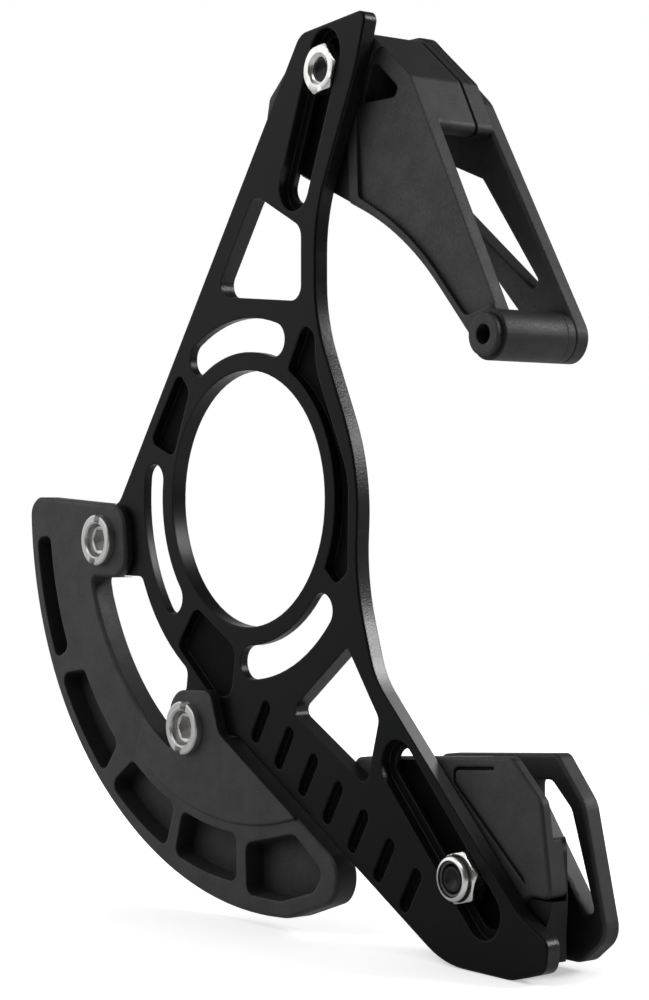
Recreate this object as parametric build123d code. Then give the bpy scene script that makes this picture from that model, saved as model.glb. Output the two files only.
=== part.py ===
"""Bicycle chain guide for a frame with three bottom-bracket tabs, in millimetres.

The origin is the middle of the bottom-bracket bore, on the frame side of the back plate. X points to
the rear of the bicycle, Y outwards through the chainring and Z up. The back plate lies in the XZ plane.
Two guides slide along slots in it, and a moulded guard is bolted below its front edge.
"""

from build123d import *
from math import atan, cos, degrees, radians, sin
import os

# Back plate
plate_t = 3.0
bore_r = 23.15
tab_circle_r = 29.5
tab_slot_w = 6.1
tab_slot_span = 46.0
tab_slot_angles = (96.0, 196.0, 296.0)
tab_counterbore_w = 11.2
tab_counterbore_depth = 1.4
pocket_depth = 1.9
pocket_ring_r = 25.9
plate_edge_break = 0.25

# Slots that the two guides slide in: angle from X, middle of the nut seat at both ends, side offset
seat_w = 8.5
seat_depth = 2.0
slot_w = 5.4
upper_angle = 68.5
upper_low, upper_high, upper_side = 56.2, 80.2, -6.75
upper_at = 77.3
lower_angle = -46.0
lower_low, lower_high, lower_side = 92.0, 61.5, -0.15
lower_at = 84.8

# Blind slots along the lower arm
arm_slots = 7
arm_slot_first, arm_slot_last = (4.6, -39.9), (46.0, -64.8)
arm_slot_len, arm_slot_w, arm_slot_depth = 8.6, 2.7, 1.5

# Bash guard
guard_near = -1.8
guard_t = 4.8
guard_outer_r = 71.5
guard_band_w = 20.5
guard_inner_r = guard_outer_r - guard_band_w
guard_pad_step = 0.35
guard_pad_r = guard_outer_r - 13.2
guard_gap = 1.0
guard_pocket_depth = 3.6
guard_pocket_out_r = guard_outer_r - 2.5
guard_pocket_draft = 8.0
guard_bolts = {"upper": (-45.4, -8.0), "lower": (-15.6, -42.3)}
guard_seats = {"upper": guard_near, "lower": guard_near - guard_pad_step}
ear_r = 6.5
guard_tip_rise = 9.1
guard_wall_top = -18.5
guard_edge_r = 0.5

# Chainring-style bolts of the guard
flange_r = 4.95
flange_t = 1.3
barrel_r = 3.9
barrel_clear = 0.15
notch_w, notch_depth = 1.5, 1.0
bolt_thread_r = 3.0
bolt_socket_af = 4.0

# M5 fasteners of the guides
m5_r = 2.5
m5_hole_r = 2.65
m5_head_r, m5_head_h = 4.75, 2.8
m5_socket_af = 3.0
m5_nut_af = 8.0
m5_nut_t = 2.7
locknut_hex_t, locknut_collar_t, locknut_collar_r = 2.9, 1.6, 3.75
locknut_ring_r = 3.05
washer_r, washer_t = 5.5, 1.0

# M3 screws that join the halves of each guide
m3_r = 1.5
m3_hole_r = 1.65
m3_head_r, m3_head_h = 2.8, 1.7
m3_socket_af = 2.0
insert_r, insert_len = 2.1, 5.0

# Upper guide
guide_face = plate_t
upper_panel_step = 0.7
upper_wall_t = 3.3
upper_seam = 15.0
upper_out = 21.5
upper_cover_t = 3.2
upper_tube_seam = 16.6
upper_boss = (62.1, 26.4)
upper_boss_r = 4.2
upper_ring_r = 3.5
upper_boss_proud = 1.3
upper_relief = 0.9
upper_tri_depth = 6.0
moulding_edge = 0.4
seam_groove_w, seam_groove_depth = 0.35, 0.4

# Lower guide
lower_panel_step = 0.8
lower_web_t = 1.8
lower_wall_t = 3.6
lower_seam = 12.9
lower_out = 16.5
lower_boss_r = 5.2
lower_screw_at = (65.6, -68.6)
slider_near, slider_far = 3.6, 12.9


def slab(face, near, far):
    """A face drawn in X and Z, as a solid from one distance outwards to another."""
    return extrude(Plane.XZ.offset(-near) * face, amount=-(far - near))


def outline(*corners):
    """A closed outline of (x, z, corner radius)."""
    points = [(x, z) for x, z, _ in corners]
    return make_face(FilletPolyline(*points, radius=[r for _, _, r in corners], close=True))


def softened(solid, size, near=True, far=True):
    """A plate-like solid with the outer edges of its near and far faces chamfered."""
    faces = solid.faces().sort_by(Axis.Y)
    edges = []
    if near:
        edges += faces[0].outer_wire().edges()
    if far:
        edges += faces[-1].outer_wire().edges()
    return chamfer(edges, size)


def disc(at, r):
    """A round face at a place in the XZ plane."""
    return Pos(at[0], at[1]) * Circle(r)


def rod(at, r, near, far):
    """A round bar along Y."""
    return slab(disc(at, r), near, far)


def hexagon(at, across_flats, near, far, turn=0.0):
    """A six-sided bar along Y, with a corner at the angle given."""
    face = Pos(*at) * Rot(0, 0, turn) * RegularPolygon(across_flats / 2, 6, major_radius=False)
    return slab(face, near, far)


def polar(r, angle):
    """A point at a radius and an angle about the bore."""
    return (r * cos(radians(angle)), r * sin(radians(angle)))


def on_slot(angle, along, side):
    """A point given by its distance along a slot's direction and its offset to the right of it."""
    c, s = cos(radians(angle)), sin(radians(angle))
    return (along * c + side * s, along * s - side * c)


def arc_slot(middle, span, width):
    """A slot with round ends along the circle of the frame tabs."""
    arc = CenterArc((0, 0), tab_circle_r, middle - span / 2, span)
    return SlotArc(arc, width)


def straight_slot(a, b, width):
    """A slot with round ends between two points."""
    length = ((b[0] - a[0]) ** 2 + (b[1] - a[1]) ** 2) ** 0.5
    middle = Pos((a[0] + b[0]) / 2, (a[1] + b[1]) / 2)
    turn = Vector(b[0] - a[0], b[1] - a[1]).get_angle(Vector(1, 0)) * (1 if b[1] >= a[1] else -1)
    return middle * Rot(0, 0, turn) * SlotCenterToCenter(length, width)


def sector(inner, outer, start, end, corner):
    """A piece of ring about the bore, with rounded corners. Each end has its inner and outer angle."""
    face = make_face(
        [
            CenterArc((0, 0), outer, start[1], end[1] - start[1]),
            Line(polar(outer, end[1]), polar(inner, end[0])),
            CenterArc((0, 0), inner, start[0], end[0] - start[0]),
            Line(polar(inner, start[0]), polar(outer, start[1])),
        ]
    )
    return fillet(face.vertices(), corner)


upper_slot_low = on_slot(upper_angle, upper_low, upper_side)
upper_slot_high = on_slot(upper_angle, upper_high, upper_side)
upper_bolt_at = on_slot(upper_angle, upper_at, upper_side)
lower_slot_low = on_slot(lower_angle, lower_low, -lower_side)
lower_slot_high = on_slot(lower_angle, lower_high, -lower_side)
lower_bolt_at = on_slot(lower_angle, lower_at, -lower_side)

# Lower edge of the arm, as a slope from its inner corner
arm_corner = (-2.6, -43.1)
arm_slope = -0.575


def arm_edge(x, gap=0.0):
    """Height of the arm's lower edge at x, or of a line that far below it."""
    return arm_corner[1] + arm_slope * (x - arm_corner[0]) - gap * (1 + arm_slope**2) ** 0.5


def plate_outline():
    ear = guard_bolts["lower"]
    tab = guard_bolts["upper"]
    return outline(
        (15.9, 81.4, 3.5),
        (34.5, 83.1, 1.6),
        (31.6, 73.5, 40),
        (20.3, 49.5, 30),
        (20.3, 31.0, 30),
        (32.7, 4.8, 38),
        (31.3, -13.5, 40),
        (36.6, -30.2, 14),
        (72.0, -65.2, 6),
        (78.9, -68.8, 2.0),
        (78.4, -73.6, 2.6),
        (70.5, -75.9, 8.0),
        (54.2, arm_edge(54.2), 18),
        (*arm_corner, 0.8),
        (ear[0] + ear_r, arm_corner[1], 1.0),
        (ear[0] + ear_r, ear[1] - ear_r, ear_r - 2.3),
        (ear[0] - ear_r, ear[1] - ear_r, ear_r - 0.3),
        (ear[0] - ear_r, -38.2, 3.5),
        (-18.8, -35.4, 1.5),
        (-18.3, -31.9, 1.8),
        (-28.5, -25.2, 36.7),
        (-33.6, tab[1] - ear_r - 0.3, 2.0),
        (tab[0] - ear_r, tab[1] - ear_r - 0.3, ear_r - 0.1),
        (tab[0] - ear_r, tab[1] + ear_r + 0.3, ear_r - 0.1),
        (-41.9, tab[1] + ear_r + 0.3, 4.0),
    )


def upper_window():
    return outline((2.6, 54.7, 2.2), (16.4, 47.6, 3.0), (16.4, 34.6, 2.6), (-9.5, 37.1, 2.4))


def lower_window():
    return outline(
        (29.4, -25.3, 0.8), (37.9, -37.0, 2.0), (34.6, -48.8, 1.8), (13.6, -37.3, 1.4)
    )


def right_pocket():
    """The long pocket between the bore's ring and the rear edge."""
    face = outline(
        (17.2, 30.9, 1.9),
        (20.3, 28.6, 1.9),
        (20.6, 22.6, 12),
        (29.7, 3.6, 12),
        (29.4, -12.6, 2.0),
        (26.2, -14.8, 1.5),
        (20.5, -10.0, 1.0),
        (12.0, 22.0, 1.0),
    )
    face -= Circle(pocket_ring_r)
    corners = [v for v in face.vertices() if abs(Vector(v.X, v.Y).length - pocket_ring_r) < 0.01]
    return fillet(corners, 0.9)


def front_pocket():
    """The pocket between the front edge and the bore's ring."""
    return outline((-21.0, 24.0, 1.8), (-17.6, 20.0, 1.8), (-22.8, 7.8, 1.8), (-30.6, 10.8, 1.6))


def lower_pocket():
    """The pocket above the guard's lower tab."""
    return outline(
        (-15.6, -19.9, 2.2),
        (-2.9, -27.2, 3.2),
        (-4.4, -36.0, 2.8),
        (-10.6, -36.4, 1.8),
        (-21.6, -27.6, 1.3),
    )


def arm_pockets():
    """Plain blind slots, evenly spaced along the lower arm."""
    (x0, z0), (x1, z1) = arm_slot_first, arm_slot_last
    lean = degrees(atan((z1 - z0) / (x1 - x0))) + 90
    faces = []
    for i in range(arm_slots):
        share = i / (arm_slots - 1)
        place = Pos(x0 + share * (x1 - x0), z0 + share * (z1 - z0)) * Rot(0, 0, lean)
        faces.append(place * SlotOverall(arm_slot_len, arm_slot_w))
    return faces


def backplate():
    plate = softened(slab(plate_outline(), 0, plate_t), plate_edge_break)
    plate -= rod((0, 0), bore_r, 0, plate_t)
    plate -= slab(upper_window(), 0, plate_t)
    plate -= slab(lower_window(), 0, plate_t)
    for angle in tab_slot_angles:
        plate -= slab(arc_slot(angle, tab_slot_span, tab_slot_w), 0, plate_t)
        counterbore = arc_slot(angle, tab_slot_span, tab_counterbore_w)
        plate -= slab(counterbore, plate_t - tab_counterbore_depth, plate_t)
    for ends in ((upper_slot_low, upper_slot_high), (lower_slot_low, lower_slot_high)):
        plate -= slab(straight_slot(*ends, seat_w), 0, seat_depth)
        plate -= slab(straight_slot(*ends, slot_w), 0, plate_t)
    for face in (right_pocket(), front_pocket(), lower_pocket()):
        plate -= slab(face, 0, pocket_depth)
    for face in arm_pockets():
        plate -= slab(face, 0, arm_slot_depth)
    for at in guard_bolts.values():
        plate -= rod(at, barrel_r + barrel_clear, 0, plate_t)
    return plate


def guard_tip():
    """The guard's rear corner beside the arm: on the gap's line, a set height above the rim's radius."""
    z = guard_tip_rise - guard_outer_r
    return (arm_corner[0] + (z - arm_edge(arm_corner[0], guard_gap)) / arm_slope, z)


def near_tip(dx, dz):
    """A point given from the guard's rear corner."""
    x, z = guard_tip()
    return (x + dx, z + dz)


def guard_face():
    """The guard from the frame side: a sickle about the bore with two tabs over the plate."""
    turn = 229.5
    start = polar(guard_outer_r, 184.0)
    bend = polar(guard_outer_r, turn)
    lowest = near_tip(-20.0, -11.5)
    upper, lower = guard_bolts["upper"], guard_bolts["lower"]
    left = lower[0] - ear_r + 1.2
    wall_top = (-((guard_inner_r**2 - guard_wall_top**2) ** 0.5), guard_wall_top)
    wall_end = (left, -((guard_inner_r**2 - left**2) ** 0.5))
    tab_foot = upper[1] - 7.2
    tab_side, tab_end = upper[0] + 9.4, 2.6 - guard_inner_r
    tab_round = min(4.6, 0.5 * (tab_side - tab_end))
    ear_top = lower[1] + ear_r + 0.2
    ear_round = min(5.0, ear_top - wall_end[1] - 2 * guard_edge_r)
    top = FilletPolyline(start, (-guard_outer_r - 0.1, 0.6), (upper[0] + 8.0, upper[1] + 6.6),
                         (tab_side, tab_foot), (tab_end, tab_foot), wall_top,
                         radius=[3.6, 4.2, tab_round, 1.0])
    end = FilletPolyline(
        lowest,
        near_tip(-14.0, -11.2),
        near_tip(-0.5, -6.5),
        guard_tip(),
        (-5.4, arm_edge(-5.4, guard_gap)),
        (-8.2, ear_top + 0.6),
        (left, ear_top),
        wall_end,
        radius=[14.0, 4.8, 4.6, 2.5, 2.6, ear_round],
    )
    return make_face(
        [
            top,
            ThreePointArc(start, polar(guard_outer_r, 207), bend),
            TangentArc(bend, lowest, tangent=(-sin(radians(turn)), cos(radians(turn)))),
            end,
            ThreePointArc(wall_end, polar(guard_inner_r, 222), wall_top),
        ]
    )


def guard_pockets():
    """Drafted pockets along the guard's rim, with ribs left between them."""
    spans = (
        (186.5, 186.5, 207.6, 7.5),
        (210.2, 213.2, 230.4, 10.5),
        (232.9, 235.8, 250.8, 11.3),
        (253.3, 253.3, 269.8, 11.3),
    )
    faces = []
    for start_out, start_in, end, width in spans:
        inner = guard_outer_r - width
        faces.append(sector(inner, guard_pocket_out_r, (start_in, start_out), (end, end), 1.8))
    faces.append(
        outline(
            (*near_tip(-26.5, 0.8), 2.0),
            (*near_tip(-12.2, 4.0), 3.4),
            (*near_tip(-3.8, -1.8), 2.0),
            (*near_tip(-6.6, -5.6), 3.2),
            (*near_tip(-16.0, -8.4), 9.0),
            (*near_tip(-26.2, -8.4), 2.0),
        )
    )
    return faces


def bash_guard():
    far = guard_near + guard_t
    guard = softened(slab(guard_face(), guard_near, far), guard_edge_r)
    pad_near = guard_near - guard_pad_step
    pad = slab(guard_face() & sector(30, guard_pad_r, (225, 236), (292, 292), 0.5), pad_near, guard_near + 0.6)
    flat_from = guard_bolts["lower"][0] - flange_r - 0.5
    slope = Plane.XY.offset(-80) * make_face(
        Polyline((flat_from, pad_near), (flat_from - 13, guard_near), (flat_from - 30, guard_near),
                 (flat_from - 30, pad_near - 1), (flat_from, pad_near - 1), close=True)
    )
    guard += pad - extrude(slope, amount=80)
    clear = offset(plate_outline(), 0.3)
    guard -= slab(clear, 0, far)
    for face in guard_pockets():
        pocket = extrude(Plane.XZ.offset(-guard_near) * face, amount=-guard_pocket_depth,
                         taper=guard_pocket_draft)
        guard -= pocket
    for name, at in guard_bolts.items():
        guard -= rod(at, barrel_r + barrel_clear, guard_seats[name], 0)
    return guard


def guard_nut(at, seat):
    """Sleeve nut with a slotted flange, pressed in from the frame side."""
    near = seat - flange_t
    nut = rod(at, flange_r, near, seat) + rod(at, barrel_r, seat, plate_t - 0.4)
    nut -= rod(at, bolt_thread_r, near, plate_t)
    notch = Pos(*at) * Rot(0, 0, -12) * Rectangle(notch_w, 2 * flange_r + 1)
    keep = disc(at, bolt_thread_r + 0.4)
    nut -= slab(notch - keep, near, near + notch_depth)
    return nut


def guard_bolt(at, seat):
    """Flat bolt from the chainring side, which fills the sleeve nut and shows its socket."""
    near = seat - flange_t + 0.3
    bolt = rod(at, flange_r, plate_t, plate_t + flange_t) + rod(at, bolt_thread_r, near, plate_t)
    bolt -= hexagon(at, bolt_socket_af, near, near + 2.0)
    bolt -= hexagon(at, bolt_socket_af, plate_t + flange_t - 2.2, plate_t + flange_t)
    return bolt


def upper_body():
    """Outline of the upper guide's frame-side half, foot and all."""
    x, z = upper_boss
    face = outline(
        (13.4, 81.4, 3.0),
        (25.4, 81.4, 1.5),
        (27.2, 79.6, 1.5),
        (31.3, 79.6, 2.0),
        (41.7, 71.0, 1.6),
        (x + 3.1, z + 0.4, 0.5),
        (x - 3.3, z - 1.7, 0.5),
        (40.7, 44.5, 60),
        (27.0, 50.6, 2.0),
        (12.2, 57.2, 3.0),
        (2.0, 67.9, 2.0),
        (3.0, 72.2, 1.8),
    )
    return face + disc(upper_boss, upper_boss_r)


def upper_bridge():
    """The wall over the chain that joins both halves of the upper guide."""
    return outline(
        (13.4, 79.6, 3.0),
        (31.3, 79.6, 2.0),
        (41.7, 71.0, 1.6),
        (46.4, 62.0, 1.3),
        (43.2, 61.2, 1.3),
        (38.0, 68.4, 3.0),
        (13.4, 68.4, 3.0),
    )


def seam_groove(face, near, far):
    """A shallow groove all round, where two halves meet."""
    return slab(face - offset(face, -seam_groove_depth), near, far)


def upper_cover():
    """Outline of the upper guide's outer half."""
    x, z = upper_boss
    face = outline(
        (13.4, 81.4, 3.0),
        (27.4, 81.4, 4.0),
        (42.8, 67.8, 5.0),
        (x + 3.6, z + 2.2, 0.5),
        (x - 3.3, z - 1.7, 0.5),
        (40.2, 44.0, 60),
        (27.2, 49.8, 2.0),
        (13.4, 62.0, 3.0),
    )
    return face + disc(upper_boss, upper_boss_r)


def upper_guide_inner():
    wall_far = guide_face + upper_wall_t
    guide = softened(slab(upper_body(), guide_face, wall_far), moulding_edge, far=False)
    guide += slab(upper_bridge(), wall_far, upper_seam)
    guide -= seam_groove(upper_bridge(), upper_seam - seam_groove_w, upper_seam)
    panel = outline(
        (32.6, 76.0, 1.5), (27.9, 68.2, 1.2), (28.6, 51.8, 1.0), (42.5, 44.5, 60), (56.3, 29.6, 2),
        (72.0, 34.0, 1), (58.0, 62.0, 1), (46.0, 82.0, 1),
    )
    guide -= slab(panel - disc(upper_boss, upper_boss_r), guide_face, guide_face + upper_panel_step)
    relief = outline(
        (25.4, 69.5, 0.5), (26.2, 50.0, 0.5), (20.6, 50.0, 0.5), (19.4, 57.0, 3), (23.4, 67.0, 1)
    )
    guide -= slab(relief, guide_face, guide_face + upper_relief)
    pocket = outline((32.0, 75.0, 1.0), (38.8, 69.3, 1.1), (37.4, 67.9, 1.0), (28.9, 67.9, 0.9))
    guide -= slab(pocket, guide_face, guide_face + upper_tri_depth)
    guide += rod(upper_boss, upper_boss_r, guide_face, upper_tube_seam)
    guide += rod(upper_boss, upper_ring_r, guide_face - upper_boss_proud, guide_face)
    guide -= rod(upper_boss, m3_hole_r, guide_face - upper_boss_proud, upper_tube_seam)
    guide -= rod(upper_boss, insert_r, upper_tube_seam - insert_len, upper_tube_seam)
    guide -= rod(upper_bolt_at, m5_hole_r, guide_face, upper_seam)
    return guide


def upper_guide_outer():
    face = upper_cover()
    near = upper_out - upper_cover_t
    guide = softened(slab(face, near, upper_out), moulding_edge)
    guide += slab(upper_bridge(), upper_seam, near + moulding_edge)
    guide += rod(upper_boss, upper_boss_r, upper_tube_seam, near)
    window = outline((29.4, 60.2, 1.0), (43.6, 54.6, 0.8), (62.3, 29.9, 1.1), (29.4, 56.0, 1.0))
    guide -= slab(window, near, upper_out)
    guide -= rod(upper_boss, m3_hole_r, upper_tube_seam, upper_out)
    guide -= rod(upper_boss, m3_head_r + 0.2, upper_out - m3_head_h, upper_out)
    guide -= rod(upper_bolt_at, m5_hole_r, upper_seam, upper_out)
    return guide


def lower_body():
    """Outline of the lower guide's frame-side half, foot and all."""
    return outline(
        (27.0, -44.5, 2.4),
        (67.2, -41.2, 2.0),
        (74.2, -47.7, 2.0),
        (76.5, -62.9, 1.6),
        (71.4, -62.9, 3.0),
        (60.6, -73.6, 4.0),
        (52.0, -68.0, 4.0),
        (27.0, -50.4, 3.0),
    )


def lower_cover():
    """Outline of the lower guide's outer half."""
    return outline(
        (38.4, -43.6, 2.0),
        (67.3, -41.3, 1.8),
        (73.6, -48.7, 5.0),
        (78.8, -69.6, 4.0),
        (73.0, -74.3, 4.0),
        (58.0, -74.3, 5.0),
        (38.0, -58.5, 3.0),
    )


def lower_guide_inner():
    web_far = guide_face + lower_web_t
    wall_far = guide_face + lower_wall_t
    guide = softened(slab(lower_body(), guide_face, web_far), moulding_edge, far=False)
    thick = outline((20, -40, 1), (58.5, -40, 1), (64.5, -53.6, 5), (80, -53.6, 1), (80, -80, 1), (20, -80, 1))
    guide += slab(lower_body() & thick, web_far, wall_far)
    panel = outline((54.0, -44.4, 0.6), (65.6, -43.4, 2.4), (72.8, -49.2, 2.4), (74.8, -61.2, 1.6),
                    (71.8, -61.3, 2.0), (54.0, -46.2, 0.6))
    seen = outline((50, -38, 1), (63.2, -38, 1), (63.2, -46, 1), (70.6, -60.8, 1), (70.6, -68, 1), (50, -68, 1))
    rim = (offset(panel, 0.6) - panel) & seen
    guide -= slab(rim, guide_face, guide_face + lower_panel_step)
    guide += rod(lower_bolt_at, lower_boss_r, wall_far, lower_seam)
    guide -= rod(lower_bolt_at, m5_hole_r, guide_face, lower_seam)
    return guide


def lower_guide_outer():
    guide = softened(slab(lower_cover(), lower_seam, lower_out), moulding_edge)
    window = outline((60.9, -46.0, 1.0), (66.3, -45.5, 1.6), (70.9, -49.8, 3.0), (78.6, -73.0, 1.4),
                     (60.9, -49.1, 1.0))
    guide -= slab(window, lower_seam, lower_out)
    guide -= rod(lower_bolt_at, m5_hole_r, lower_seam, lower_out)
    guide -= rod(lower_screw_at, m3_hole_r, lower_seam, lower_out)
    guide -= rod(lower_screw_at, m3_head_r + 0.2, lower_out - m3_head_h, lower_out)
    return guide


def chain_slider():
    """Block between the lower halves that the chain runs over."""
    wall_far = guide_face + lower_wall_t
    face = outline((61.6, -66.0, 3.0), (66.0, -56.0, 4.0), (74.6, -52.9, 2.6), (76.4, -63.6, 6.0),
                   (74.2, -68.6, 4.0), (74.2, -73.6, 1.5), (61.6, -73.6, 3.0))
    block = slab(face, wall_far, slider_far)
    block -= rod(lower_bolt_at, lower_boss_r + 0.3, wall_far, slider_far)
    block -= rod(lower_screw_at, insert_r, slider_far - insert_len, slider_far)
    lip = face & outline((64.0, -63.2, 1), (80, -63.2, 1), (80, -80, 1), (64.0, -80, 1))
    block += slab(lip - offset(lower_body(), 0.1), slider_near, wall_far)
    cut = Plane.XY.offset(-90) * make_face(Polyline((76.6, wall_far), (68.6, slider_far + 0.1),
                                                     (90, slider_far + 0.1), (90, wall_far), close=True))
    block -= extrude(cut, amount=50)
    return block


def cap_screw(at, shank_r, head_r, head_h, socket_af, head_near, tip):
    """A screw whose head is on the outer side and whose tip points at the frame."""
    screw = rod(at, shank_r, tip, head_near) + rod(at, head_r, head_near, head_near + head_h)
    screw -= hexagon(at, socket_af, head_near + 0.35 * head_h, head_near + head_h)
    return screw


def washer(at, near):
    ring = rod(at, washer_r, near, near + washer_t)
    return ring - rod(at, m5_hole_r, near, near + washer_t)


def hex_nut(at, turn):
    """Thin nut sunk in the slot's seat, its face just proud of the plate."""
    near = seat_depth - m5_nut_t
    nut = hexagon(at, m5_nut_af, near, seat_depth, turn)
    nut &= chamfer(rod(at, m5_nut_af / 2 + 0.5, near, seat_depth).edges().group_by(Axis.Y)[0], 0.45)
    return nut - rod(at, m5_r, near, seat_depth)


def lock_nut(at, turn):
    """Nut with a round collar that holds a nylon ring."""
    hex_near = seat_depth - locknut_hex_t
    near = hex_near - locknut_collar_t
    nut = hexagon(at, m5_nut_af, hex_near, seat_depth, turn) + rod(at, locknut_collar_r, near, hex_near)
    nut -= rod(at, m5_r, near, seat_depth)
    return nut - rod(at, locknut_ring_r, near, hex_near)


def nylon_ring(at):
    far = seat_depth - locknut_hex_t
    near = far - locknut_collar_t + 0.3
    return rod(at, locknut_ring_r, near, far) - rod(at, m5_r, near, far)


def threaded_insert(at, near):
    return rod(at, insert_r, near, near + insert_len) - rod(at, m3_r, near, near + insert_len)


def build():
    """Every piece by its name."""
    pieces = {
        "backplate": backplate(),
        "bash_guard": bash_guard(),
        "upper_guide_inner": upper_guide_inner(),
        "upper_guide_outer": upper_guide_outer(),
        "upper_guide_bolt": cap_screw(
            upper_bolt_at, m5_r, m5_head_r, m5_head_h, m5_socket_af, upper_out + washer_t, 0.2
        ),
        "upper_guide_washer": washer(upper_bolt_at, upper_out),
        "upper_guide_nut": hex_nut(upper_bolt_at, upper_angle),
        "upper_cross_screw": cap_screw(
            upper_boss, m3_r, m3_head_r, m3_head_h, m3_socket_af, upper_out - m3_head_h,
            upper_tube_seam - insert_len,
        ),
        "upper_cross_insert": threaded_insert(upper_boss, upper_tube_seam - insert_len),
        "lower_guide_inner": lower_guide_inner(),
        "lower_guide_outer": lower_guide_outer(),
        "chain_slider": chain_slider(),
        "lower_guide_bolt": cap_screw(
            lower_bolt_at, m5_r, m5_head_r, m5_head_h, m5_socket_af, lower_out + washer_t, -1.5
        ),
        "lower_guide_washer": washer(lower_bolt_at, lower_out),
        "lower_guide_nut": lock_nut(lower_bolt_at, lower_angle),
        "lower_nut_ring": nylon_ring(lower_bolt_at),
        "lower_guide_screw": cap_screw(
            lower_screw_at, m3_r, m3_head_r, m3_head_h, m3_socket_af, lower_out - m3_head_h,
            lower_seam - insert_len,
        ),
        "lower_screw_insert": threaded_insert(lower_screw_at, lower_seam - insert_len),
    }
    for name, at in guard_bolts.items():
        pieces[f"guard_nut_{name}"] = guard_nut(at, guard_seats[name])
        pieces[f"guard_bolt_{name}"] = guard_bolt(at, guard_seats[name])
    return pieces


os.makedirs("parts", exist_ok=True)
for name, solid in build().items():
    export_step(Part() + solid, f"parts/{name}.step")
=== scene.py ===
# %% [markdown]
# A bicycle chain guide, dressed for a photograph.
#
# The CAD model already has every part at its true size. Blender adds what a CAD model leaves out:
# the skin of each material, the threads inside the nuts, and the light of a small studio.
# The frame of reference is the bicycle's own: +X to the rear, +Y outboard, +Z up, in metres.

# %% Tools, and the CAD model as the frame
import math

import bpy
import numpy as np
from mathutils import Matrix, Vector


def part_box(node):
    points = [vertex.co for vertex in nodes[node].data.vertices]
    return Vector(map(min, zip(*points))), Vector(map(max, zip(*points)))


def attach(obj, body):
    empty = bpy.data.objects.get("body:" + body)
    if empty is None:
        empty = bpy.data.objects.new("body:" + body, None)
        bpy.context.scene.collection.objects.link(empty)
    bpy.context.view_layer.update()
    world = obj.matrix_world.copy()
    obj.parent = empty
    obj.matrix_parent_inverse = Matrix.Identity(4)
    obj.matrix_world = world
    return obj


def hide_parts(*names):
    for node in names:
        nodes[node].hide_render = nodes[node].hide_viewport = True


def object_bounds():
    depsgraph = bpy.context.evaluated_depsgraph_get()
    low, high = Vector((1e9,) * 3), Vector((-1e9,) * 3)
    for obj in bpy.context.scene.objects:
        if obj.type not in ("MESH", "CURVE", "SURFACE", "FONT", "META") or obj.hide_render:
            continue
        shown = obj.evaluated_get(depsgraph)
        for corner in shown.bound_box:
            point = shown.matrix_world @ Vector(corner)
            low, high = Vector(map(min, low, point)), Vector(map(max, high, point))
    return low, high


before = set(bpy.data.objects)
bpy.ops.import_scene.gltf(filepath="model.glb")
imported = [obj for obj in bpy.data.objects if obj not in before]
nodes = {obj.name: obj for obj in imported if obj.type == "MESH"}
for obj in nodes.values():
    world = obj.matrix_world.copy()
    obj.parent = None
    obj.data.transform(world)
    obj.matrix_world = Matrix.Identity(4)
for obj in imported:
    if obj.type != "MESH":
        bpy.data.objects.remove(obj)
cad_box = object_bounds()
MM = 0.001
print(len(nodes), "CAD parts,", [round((b - a) / MM, 1) for a, b in zip(*cad_box)], "mm")

# %% [markdown]
# Colours are written as they are picked, in hex. The renderer adds light in linear values, so one
# function turns hex to linear, and every colour below goes through it.

# %% Hex to linear colour
def colour(text):
    """Each channel c of #rrggbb, over 255, is c / 12.92 below 0.04045 and ((c + 0.055) / 1.055) to the
    power 2.4 above it."""
    c = np.array([int(text[i : i + 2], 16) / 255 for i in (1, 3, 5)])
    linear = np.where(c <= 0.04045, c / 12.92, ((c + 0.055) / 1.055) ** 2.4)
    return (*linear.tolist(), 1.0)


print("#232323 is", [round(v, 4) for v in colour("#232323")])

# %% [markdown]
# A material is a small graph. One function adds any node: its settings, and for each input either a
# value or the output of another node. That keeps each recipe readable as a list of steps.

# %% One node with its settings and links
def add(tree, kind, settings, inputs):
    """A new node. An input that is given an output socket is linked, and any other gets the value."""
    made = tree.nodes.new(kind)
    for name, value in settings.items():
        setattr(made, name, value)
    for name, value in inputs.items():
        if isinstance(value, bpy.types.NodeSocket):
            tree.links.new(value, made.inputs[name])
        else:
            made.inputs[name].default_value = value
    return made


def new_material(name):
    """An empty node material, its tree and its output node."""
    material = bpy.data.materials.new(name)
    material.use_nodes = True
    tree = material.node_tree
    tree.nodes.clear()
    return material, tree, tree.nodes.new("ShaderNodeOutputMaterial")


# %% [markdown]
# The back plate is aluminium, milled, blasted with fine beads and anodised black. The oxide is a dull
# glassy layer, so a face behaves as a dark dielectric: no colour in its highlights, and a soft gleam.
# On the cut edges the layer is thinner and the metal shines through. The outer rim is coarse from the
# saw and sparkles, its low rear stretch is painted a lighter grey as a painted highlight, and the
# floors of the pockets are dull.
#
# Each of these is a mask: a number that is 1 where the surface has that look and 0 elsewhere. It could
# be painted by hand, but a mask that is worked out from where a point lies and which way its face
# points needs no picture, and it stays sharp at any size.

# %% Where the plate is cut, and which cuts are its outer rim
PAST_SLOTS, PAST_POCKET = 33 * MM, 28 * MM
REAR_WAY, REAR_START = (1.0, 0.0, 0.25), 24 * MM


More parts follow.
